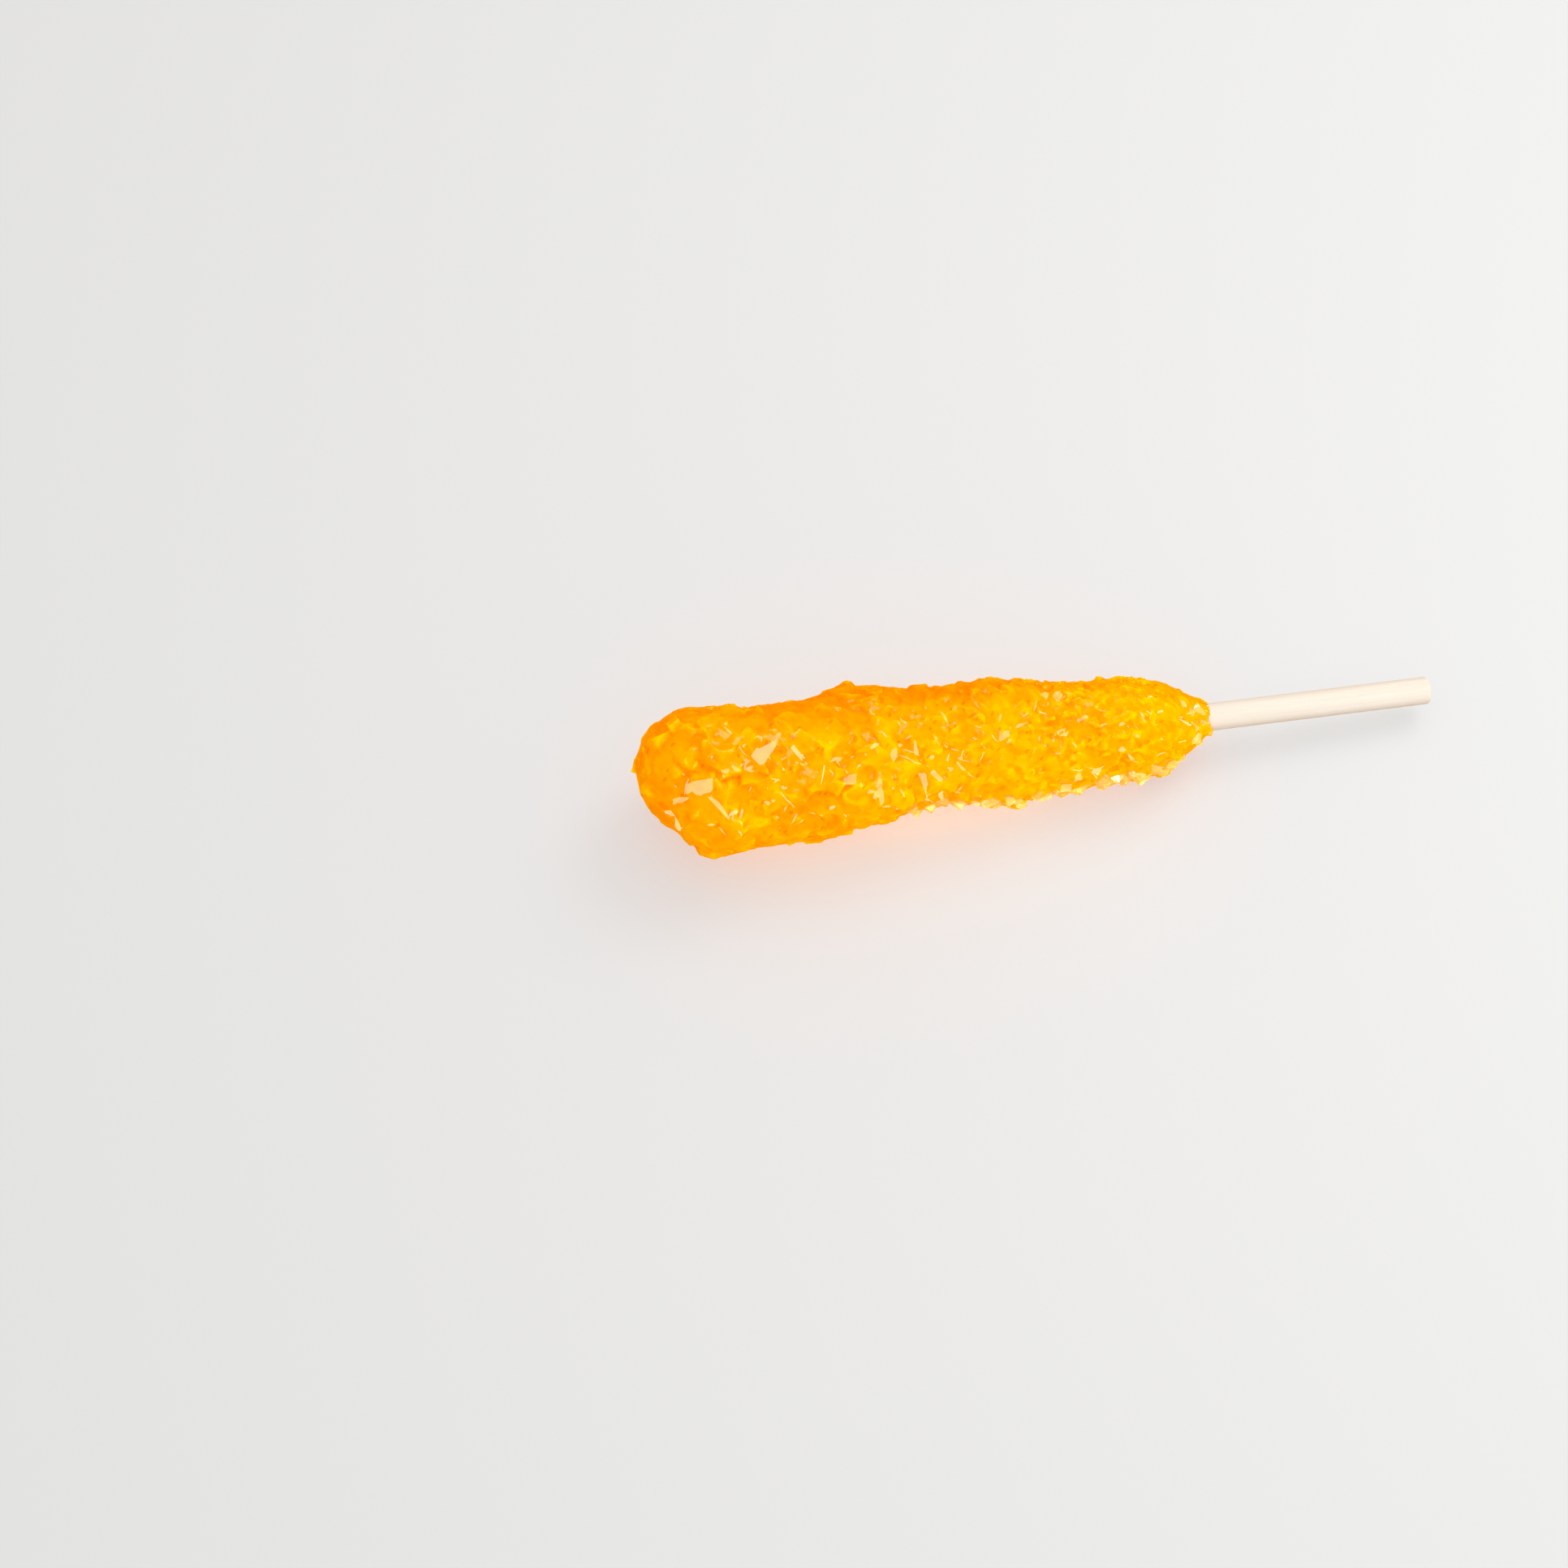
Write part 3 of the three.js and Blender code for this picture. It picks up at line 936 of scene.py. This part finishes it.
SUGAR_VALUES = {
    "IOR": 1.54,
    "Subsurface Weight": 1.0,
    "Subsurface Radius": (0.8, 0.7, 0.08),
    "Subsurface Scale": 0.008,
}

# A mean radius, to lay the candy's side out flat in millimetres.
UNROLL = 11.5

# Soft cells of lighter and darker sugar, in rows of (scale, smoothness, how much they vary).
SOFT_CELLS = [(0.35, 0.25, 0.11), (0.8, 0.3, 0.08)]
SOFT_CELL_PUSH = 2.0
# Rows of (a cell's length and width, how it is turned, how much lighter or darker it can be).
SHADES = [((3.4, 1.3), 0.6, 0.16), ((1.5, 2.8), 0.25, 0.14), ((1.2, 0.7), -0.7, 0.12)]
# Small specks of darker sugar: cell, turn, share of the cells, how much darker.
SPECKS = ((0.8, 0.45), 0.9, 0.018, -0.6)

# Faint facets and ripples everywhere, the ripples in metres.
FACET_PUSH = 0.4
FACET_TILT = 0.05
RIPPLE = 0.00005
# The share of the roughness that plates and flat faces keep, how glossy a plate is, and the
# specular level without gloss and with all of it.
SMOOTHED = 0.3
PLATE_GLOSS = 0.4
SHINE_LEVELS = (0.22, 0.8)

# Flat faces that shine like mirrors, in rows of (a cell's length and width, how it is turned,
# share of the cells with a face at the thick end and at the collar, and the length, width and
# turn of the cells that cut parts off).
FACES = [
    ((4.4, 3.2), 0.4, 0.036, 0.04, ((3.0, 2.4), 1.1)),
    ((2.4, 1.6), 1.0, 0.025, 0.03, ((2.2, 1.4), 0.3)),
    ((8.0, 1.2), 0.5, 0.035, 0.01, ((5.0, 3.5), 0.2)),
    ((4.6, 0.9), 1.7, 0.042, 0.02, ((3.0, 3.0), 0.6)),
    ((4.6, 0.8), -0.9, 0.042, 0.025, ((3.0, 2.6), 0.9)),
    ((1.1, 0.6), 0.3, 0.03, 0.035, ((1.5, 1.2), 0.8)),
    ((2.0, 0.3), 1.2, 0.03, 0.02, ((1.5, 1.5), 0.1)),
    ((2.0, 0.3), -0.4, 0.03, 0.015, ((1.5, 1.5), 1.4)),
    ((1.4, 0.25), 2.1, 0.03, 0.015, ((1.5, 1.5), 2.4)),
]
# The share of the cutting cells that leave a face as it is.
FACES_LEFT = 0.5
# Where the faces lie round the candy: the middles of the front and back zones, and how far
# from a middle they begin and end to thin out.
FACES_MIDDLE = -0.75
BACK_MIDDLE = 1.62
FACES_FADE = (0.55, 0.9)
# Which way they look: in front of FRONT_FROM and past BACK_FROM along these, between them level.
FRONT_FROM = -0.75
BACK_FROM = 0.6
LEVEL_FACE = (0.0, 0.0, 1.0)
FRONT_FACE = (-0.155, -0.577, 0.80)
BACK_FACE = (0.235, 0.69, 0.72)
# They are tilted at random, more at the back, and turn along the stick, in (from X, to X, from,
# to). Cells are chosen by the colour's low X, so the tilt leans towards -X, and the turn and
# BACK_FACE make up for it.
FACE_TILT = 0.12
BACK_TILT = 0.3
BACK_FADE = 0.1
FACE_TURN = (-97, -2, 0.05, -0.1)
SHINE_POWER = 3
LEAST_SHINE = 0.4


def bent_place(n, most):
    """The place, pushed about by up to this many millimetres so that cells get uneven sides."""
    push = n.add("TexNoise", {"Vector": n.place(), "Scale": 0.5}).outputs["Color"]
    node = n.add("VectorMath", operation="MULTIPLY_ADD")
    for value, socket in zip((push, (most,) * 3, n.place()), node.inputs):
        n.put(value, socket)
    return node.outputs["Vector"]


def mapped(n, vector, cell, turn, way):
    """Scales a vector by the cell and turns it. A TEXTURE mapping undoes that."""
    inputs = {"Vector": vector, "Rotation": (0, 0, turn), "Scale": (*cell, 1)}
    return n.add("Mapping", inputs, vector_type=way).outputs["Vector"]


def unrolled_cells(n, cell, turn):
    """Cells on the candy's side, laid flat: along the stick and round it, both in millimetres."""
    place = n.parts(n.place())
    round_it = n.math("MULTIPLY", n.math("ARCTAN2", place["Y"], place["Z"]), UNROLL)
    flat = n.add("CombineXYZ", {"X": place["X"], "Y": round_it}).outputs["Vector"]
    inputs = {"Vector": mapped(n, flat, cell, turn, "TEXTURE"), "Scale": 1.0}
    return n.add("TexVoronoi", inputs, voronoi_dimensions="2D", feature="F1").outputs


def tone_with_painted_shading(n, place):
    """The sugar's tone with painted light and shade in it, from below 0 where it is burnt orange
    to 0.9 where it is amber.
    """
    along, across = place["X"], place["Y"]
    # Painted shade in a band along the upper back, and painted light in front.
    angle = n.math("ARCTAN2", across, place["Z"])
    band = n.math("MULTIPLY", n.ranged(angle, 0.0, 0.6), n.ranged(angle, 0.95, 1.4, 1, 0))
    band = n.math("MULTIPLY", band, n.ranged(along, -95, -70, 0.5, 1))
    front = n.ranged(along, -60, -30, 0.12, 0.32)
    parts = [
        # Painted shade darkens the hollows against the tops, and crystals and plates vary.
        n.ranged(n.attribute("depth"), -1.6, 0.6, -0.16, 0.16),
        n.ranged(n.attribute("tint"), 0, 1, -0.09, 0.09),
        # Clouds and flecks.
        n.ranged(n.noise(0.14, 3, 0.55), 0.3, 0.7, -0.18, 0.18),
        n.ranged(n.noise(0.9, 2, 0.6), 0.3, 0.7, -0.08, 0.08),
        # Painted light: lighter towards the collar and in front. Painted shade: a dark band along
        # the upper back.
        n.ranged(along, -90, -10, 0.44, 0.56),
        n.math("MULTIPLY", band, n.ranged(along, -45, -15, -0.6, -0.27)),
        n.ranged(across, -12, -5, front, 0),
    ]
    for scale, smooth, size in SOFT_CELLS:
        inputs = {"Vector": bent_place(n, SOFT_CELL_PUSH), "Scale": scale, "Smoothness": smooth}
        colour = n.add("TexVoronoi", inputs, feature="SMOOTH_F1").outputs["Color"]
        parts.append(n.ranged(n.parts(colour)["X"], 0, 1, -size / 2, size / 2))
    for cell, turn, size in SHADES:
        shade = n.parts(unrolled_cells(n, cell, turn)["Color"])["Z"]
        parts.append(n.ranged(shade, 0, 1, -size / 2, size / 2))
    cell, turn, share, size = SPECKS
    chance = n.parts(unrolled_cells(n, cell, turn)["Color"])["Y"]
    parts.append(n.math("MULTIPLY", n.math("LESS_THAN", chance, share), size))
    return n.total(parts)


def flat_faces(n, cell, turn, share, cutter):
    """Where flat faces lie, how strongly each shines and which way it looks."""
    cells = unrolled_cells(n, cell, turn)
    centre = n.parts(mapped(n, cells["Position"], cell, turn, "POINT"))
    angle = n.math("DIVIDE", centre["Y"], UNROLL)
    zones = []
    for middle in (FACES_MIDDLE, BACK_MIDDLE):
        off_middle = n.math("ABSOLUTE", n.math("SUBTRACT", angle, middle))
        zones.append(n.ranged(off_middle, *FACES_FADE, 1, 0))
    share = n.math("MULTIPLY", share, n.math("MAXIMUM", *zones))
    random = n.parts(cells["Color"])
    left = n.parts(unrolled_cells(n, *cutter)["Color"])["Y"]
    chosen = n.math("LESS_THAN", random["X"], share)
    there = n.math("MULTIPLY", chosen, n.math("LESS_THAN", left, FACES_LEFT))
    shine = n.ranged(n.math("POWER", random["Z"], SHINE_POWER), 0, 1, LEAST_SHINE, 1)
    normal = n.pick(n.math("LESS_THAN", angle, FRONT_FROM), LEVEL_FACE, FRONT_FACE)
    normal = n.pick(n.math("GREATER_THAN", angle, BACK_FROM), normal, BACK_FACE)
    turned = n.add("CombineXYZ", {"X": n.ranged(centre["X"], *FACE_TURN)}).outputs["Vector"]
    most = n.ranged(angle, BACK_FROM - BACK_FADE, BACK_FROM + BACK_FADE, FACE_TILT, BACK_TILT)
    tilt = n.vector("MULTIPLY", n.vector("SUBTRACT", cells["Color"], (0.5,) * 3), most)
    normal = n.vector("ADD", normal, n.vector("ADD", turned, tilt))
    return there, n.math("MULTIPLY", there, shine), n.vector("NORMALIZE", normal)


def candy_material():
    material, shader = new_material("crystal_sugar")
    n = Nodes(material.node_tree)
    place = n.parts(n.place())
    # light is the sugar's tone with painted light and shade in it.
    light = tone_with_painted_shading(n, place)
    colour = BURNT_ORANGE
    for low, high, lighter in COLOUR_STEPS:
        colour = n.mix(n.ranged(light, low, high), colour, lighter)
    flat = n.attribute("flat")
    rough = n.ranged(n.noise(0.3), 0.3, 0.7, 0.05, 0.11)
    rough = n.math("MULTIPLY", rough, n.ranged(flat, 0, 1, 1, SMOOTHED))
    inputs = {"Vector": bent_place(n, FACET_PUSH), "Scale": 0.5}
    cells = n.add("TexVoronoi", inputs, feature="F1").outputs["Color"]
    tilt = n.vector("MULTIPLY", n.vector("SUBTRACT", cells, (0.5,) * 3), (FACET_TILT,) * 3)
    ripple = n.bump(n.noise(0.6, 3, 0.55), RIPPLE, n.ranged(flat, 0, 1, 0.2, 0.05))
    normal = n.vector("NORMALIZE", n.vector("ADD", ripple, tilt))
    gloss = n.math("MULTIPLY", flat, PLATE_GLOSS)
    for cell, turn, thick_share, collar_share, cutter in FACES:
        share = n.ranged(place["X"], -70, -25, thick_share, collar_share)
        share = n.math("MULTIPLY", share, n.ranged(place["X"], -102, -96, 0, 1))
        there, shine, facing = flat_faces(n, cell, turn, share, cutter)
        gloss = n.math("MAXIMUM", gloss, shine)
        normal = n.pick(there, normal, facing)
        rough = n.math("MULTIPLY", rough, n.ranged(there, 0, 1, 1, SMOOTHED))
    n.put(colour, shader.inputs["Base Color"])
    n.put(rough, shader.inputs["Roughness"])
    n.put(normal, shader.inputs["Normal"])
    n.put(n.ranged(gloss, 0, 1, *SHINE_LEVELS), shader.inputs["Specular IOR Level"])
    set_values(shader, SUGAR_VALUES)
    return material


# ---------------- the other materials

CLEAR_COLOURS = ((1, 0.87, 0.28, 1), (1, 0.95, 0.46, 1))
CLEAR_RIPPLE = 0.0001
CLEAR_VALUES = {"IOR": 1.5, "Transmission Weight": 0.8}

# Noise across the grain is finer than along it, in rows of (along, across, up).
STREAK_SCALE = (0.035, 1.6, 1.6)
FIBRE_SCALE = (0.12, 9, 9)
CLOUD_SCALE = (0.06, 0.5, 0.5)
WOOD_COLOURS = ((0.56, 0.515, 0.45, 1), (0.53, 0.48, 0.405, 1))
WOOD_PALE = (0.57, 0.53, 0.475, 1)
WOOD_FIBRE = (0.50, 0.42, 0.33, 1)
WOOD_RIPPLE = 0.00006
WOOD_VALUES = {
    "Subsurface Weight": 0.15,
    "Subsurface Radius": (1.0, 0.6, 0.35),
    "Subsurface Scale": 0.0008,
}


def clear_material():
    material, shader = new_material("clear_sugar")
    n = Nodes(material.node_tree)
    colour = n.mix(n.ranged(n.noise(0.25), 0.35, 0.65), *CLEAR_COLOURS)
    n.put(colour, shader.inputs["Base Color"])
    n.put(n.ranged(n.noise(0.8), 0.3, 0.7, 0.02, 0.22), shader.inputs["Roughness"])
    n.put(n.bump(n.noise(0.9), CLEAR_RIPPLE, 0.5), shader.inputs["Normal"])
    set_values(shader, CLEAR_VALUES)
    return material


def wood_material():
    material, shader = new_material("birch")
    n = Nodes(material.node_tree)
    streak = n.noise(1.0, 4, 0.6, vector=n.place(STREAK_SCALE))
    fibre = n.noise(1.0, 3, 0.6, vector=n.place(FIBRE_SCALE))
    cloud = n.noise(1.0, vector=n.place(CLOUD_SCALE))
    colour = n.mix(n.ranged(streak, 0.35, 0.65), *WOOD_COLOURS)
    colour = n.mix(n.ranged(cloud, 0.4, 0.7, 0, 0.5), colour, WOOD_PALE)
    colour = n.mix(n.ranged(fibre, 0.55, 0.8, 0, 0.2), colour, WOOD_FIBRE)
    n.put(colour, shader.inputs["Base Color"])
    n.put(n.ranged(fibre, 0.3, 0.7, 0.5, 0.7), shader.inputs["Roughness"])
    n.put(n.bump(fibre, WOOD_RIPPLE, 0.6), shader.inputs["Normal"])
    set_values(shader, WOOD_VALUES)
    return material


# ---------------- camera, table and lights

CAMERA_AZIMUTH = math.radians(-10.31)
CAMERA_ELEVATION = math.radians(60)
CAMERA_DISTANCE = 0.6744
CAMERA_TARGET = (-0.0458, 0.0046, 0.0)
CAMERA_LENS = 85
CAMERA_CLIP_START = 0.01

FLOOR_SIZE = 6
FLOOR_VALUES = {
    "Base Color": (0.473, 0.475, 0.475, 1),
    "Roughness": 0.7,
    "Specular IOR Level": 0.1,
}

ORIGIN = (0, 0, 0)
CARD_TARGET = (-0.03, 0, 0.01)
CARD_COLOUR = (1.0, 0.95, 0.8)
GLOW_COLOUR = (1.0, 0.5, 0.0)
SUN_ANGLE = 0.3
# What surfaces see of the world, and what their reflections see.
AMBIENT_COLOUR = (0.74, 0.738, 0.733, 1)
GLOSS_COLOUR = (1.3, 0.45, 0.0, 1)


def aimed(obj, target):
    obj.rotation_mode = "QUATERNION"
    obj.rotation_quaternion = (obj.location - Vector(target)).to_track_quat("Z", "Y")
    return obj


def add_camera():
    data = bpy.data.cameras.new("camera")
    data.lens = CAMERA_LENS
    data.clip_start = CAMERA_CLIP_START
    camera = bpy.data.objects.new("camera", data)
    bpy.context.scene.collection.objects.link(camera)
    back = Vector((
        math.sin(CAMERA_AZIMUTH) * math.cos(CAMERA_ELEVATION),
        -math.cos(CAMERA_AZIMUTH) * math.cos(CAMERA_ELEVATION),
        math.sin(CAMERA_ELEVATION),
    ))
    camera.location = Vector(CAMERA_TARGET) + back * CAMERA_DISTANCE
    aimed(camera, CAMERA_TARGET)
    bpy.context.scene.camera = camera


def add_floor():
    bpy.ops.mesh.primitive_plane_add(size=FLOOR_SIZE)
    floor = bpy.context.active_object
    floor.name = "floor"
    material, shader = new_material("table")
    set_values(shader, FLOOR_VALUES)
    floor.data.materials.append(material)
    floor.visible_glossy = False


def add_world():
    world = bpy.data.worlds.new("world")
    bpy.context.scene.world = world
    world.use_nodes = True
    n = Nodes(world.node_tree)
    background = world.node_tree.nodes["Background"]
    glossy = n.add("LightPath").outputs["Is Glossy Ray"]
    n.put(n.mix(glossy, AMBIENT_COLOUR, GLOSS_COLOUR), background.inputs["Color"])


def add_light(kind, name, place, target, power):
    light = bpy.data.lights.new(name, kind)
    light.energy = power
    obj = bpy.data.objects.new(name, light)
    bpy.context.scene.collection.objects.link(obj)
    obj.location = place
    return aimed(obj, target)


def add_area(name, place, target, size, power, glossy=True, diffuse=True):
    obj = add_light("AREA", name, place, target, power)
    obj.data.shape = "RECTANGLE"
    obj.data.size, obj.data.size_y = size
    obj.visible_glossy = glossy
    obj.visible_diffuse = diffuse
    return obj


def without_shadow(light):
    light.use_shadow = False
    light.cycles.use_multiple_importance_sampling = False


def add_fill(name, direction, power):
    """A soft, shadowless light from a direction, left out of reflections."""
    obj = add_light("SUN", name, direction, ORIGIN, power)
    obj.data.angle = SUN_ANGLE
    obj.visible_glossy = False
    without_shadow(obj.data)


def add_card(name, place, size, power):
    """A light that is only seen in reflections."""
    obj = add_area(name, place, CARD_TARGET, size, power, diffuse=False)
    obj.data.color = CARD_COLOUR


def add_lights():
    add_area("key", (0.4, 0.3, 0.6), ORIGIN, size=(0.4, 0.4), power=1.15, glossy=False)
    add_card("card", (0.03, 0.36, 0.65), size=(0.28, 0.24), power=0.95)
    add_card("front_card", (-0.15, -0.45, 0.5), size=(0.2, 0.16), power=0.45)
    add_fill("fill", (0.15, -0.6, 0.75), power=2.3)
    add_fill("back_fill", (-0.2, 0.95, 0.2), power=0.9)
    wash = add_area("wash", (0.42, -0.12, 0.55), ORIGIN, size=(0.3, 0.3), power=1.9, glossy=False)
    without_shadow(wash.data)
    # The light that the candy lets through onto the table.
    inside, below = (-0.03, -0.002, 0.01), (-0.03, -0.002, 0)
    glow = add_area("glow", inside, below, size=(0.06, 0.01), power=0.002, glossy=False)
    glow.data.color = GLOW_COLOUR
    without_shadow(glow.data)


# ---------------- scene

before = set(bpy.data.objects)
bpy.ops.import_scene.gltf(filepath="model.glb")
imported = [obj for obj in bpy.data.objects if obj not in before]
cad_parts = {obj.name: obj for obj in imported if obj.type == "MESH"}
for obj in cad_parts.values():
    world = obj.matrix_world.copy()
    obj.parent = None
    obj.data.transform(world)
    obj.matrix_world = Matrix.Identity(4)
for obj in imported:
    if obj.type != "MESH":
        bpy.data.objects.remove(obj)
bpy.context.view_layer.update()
TURN, COLLAR = part_frame()
LEVEL = np.array([0, 0, 1]) @ TURN

candy = make_candy()
candy.data.materials.append(candy_material())
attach(candy, "root")
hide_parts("candy")

clear = clear_crystals()
clear.data.materials.append(clear_material())
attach(clear, "root")

stick = make_stick()
stick.data.materials.append(wood_material())
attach(stick, "root")
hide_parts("stick")

add_camera()
add_floor()
add_world()
add_lights()
bpy.context.scene.view_settings.view_transform = "Standard"
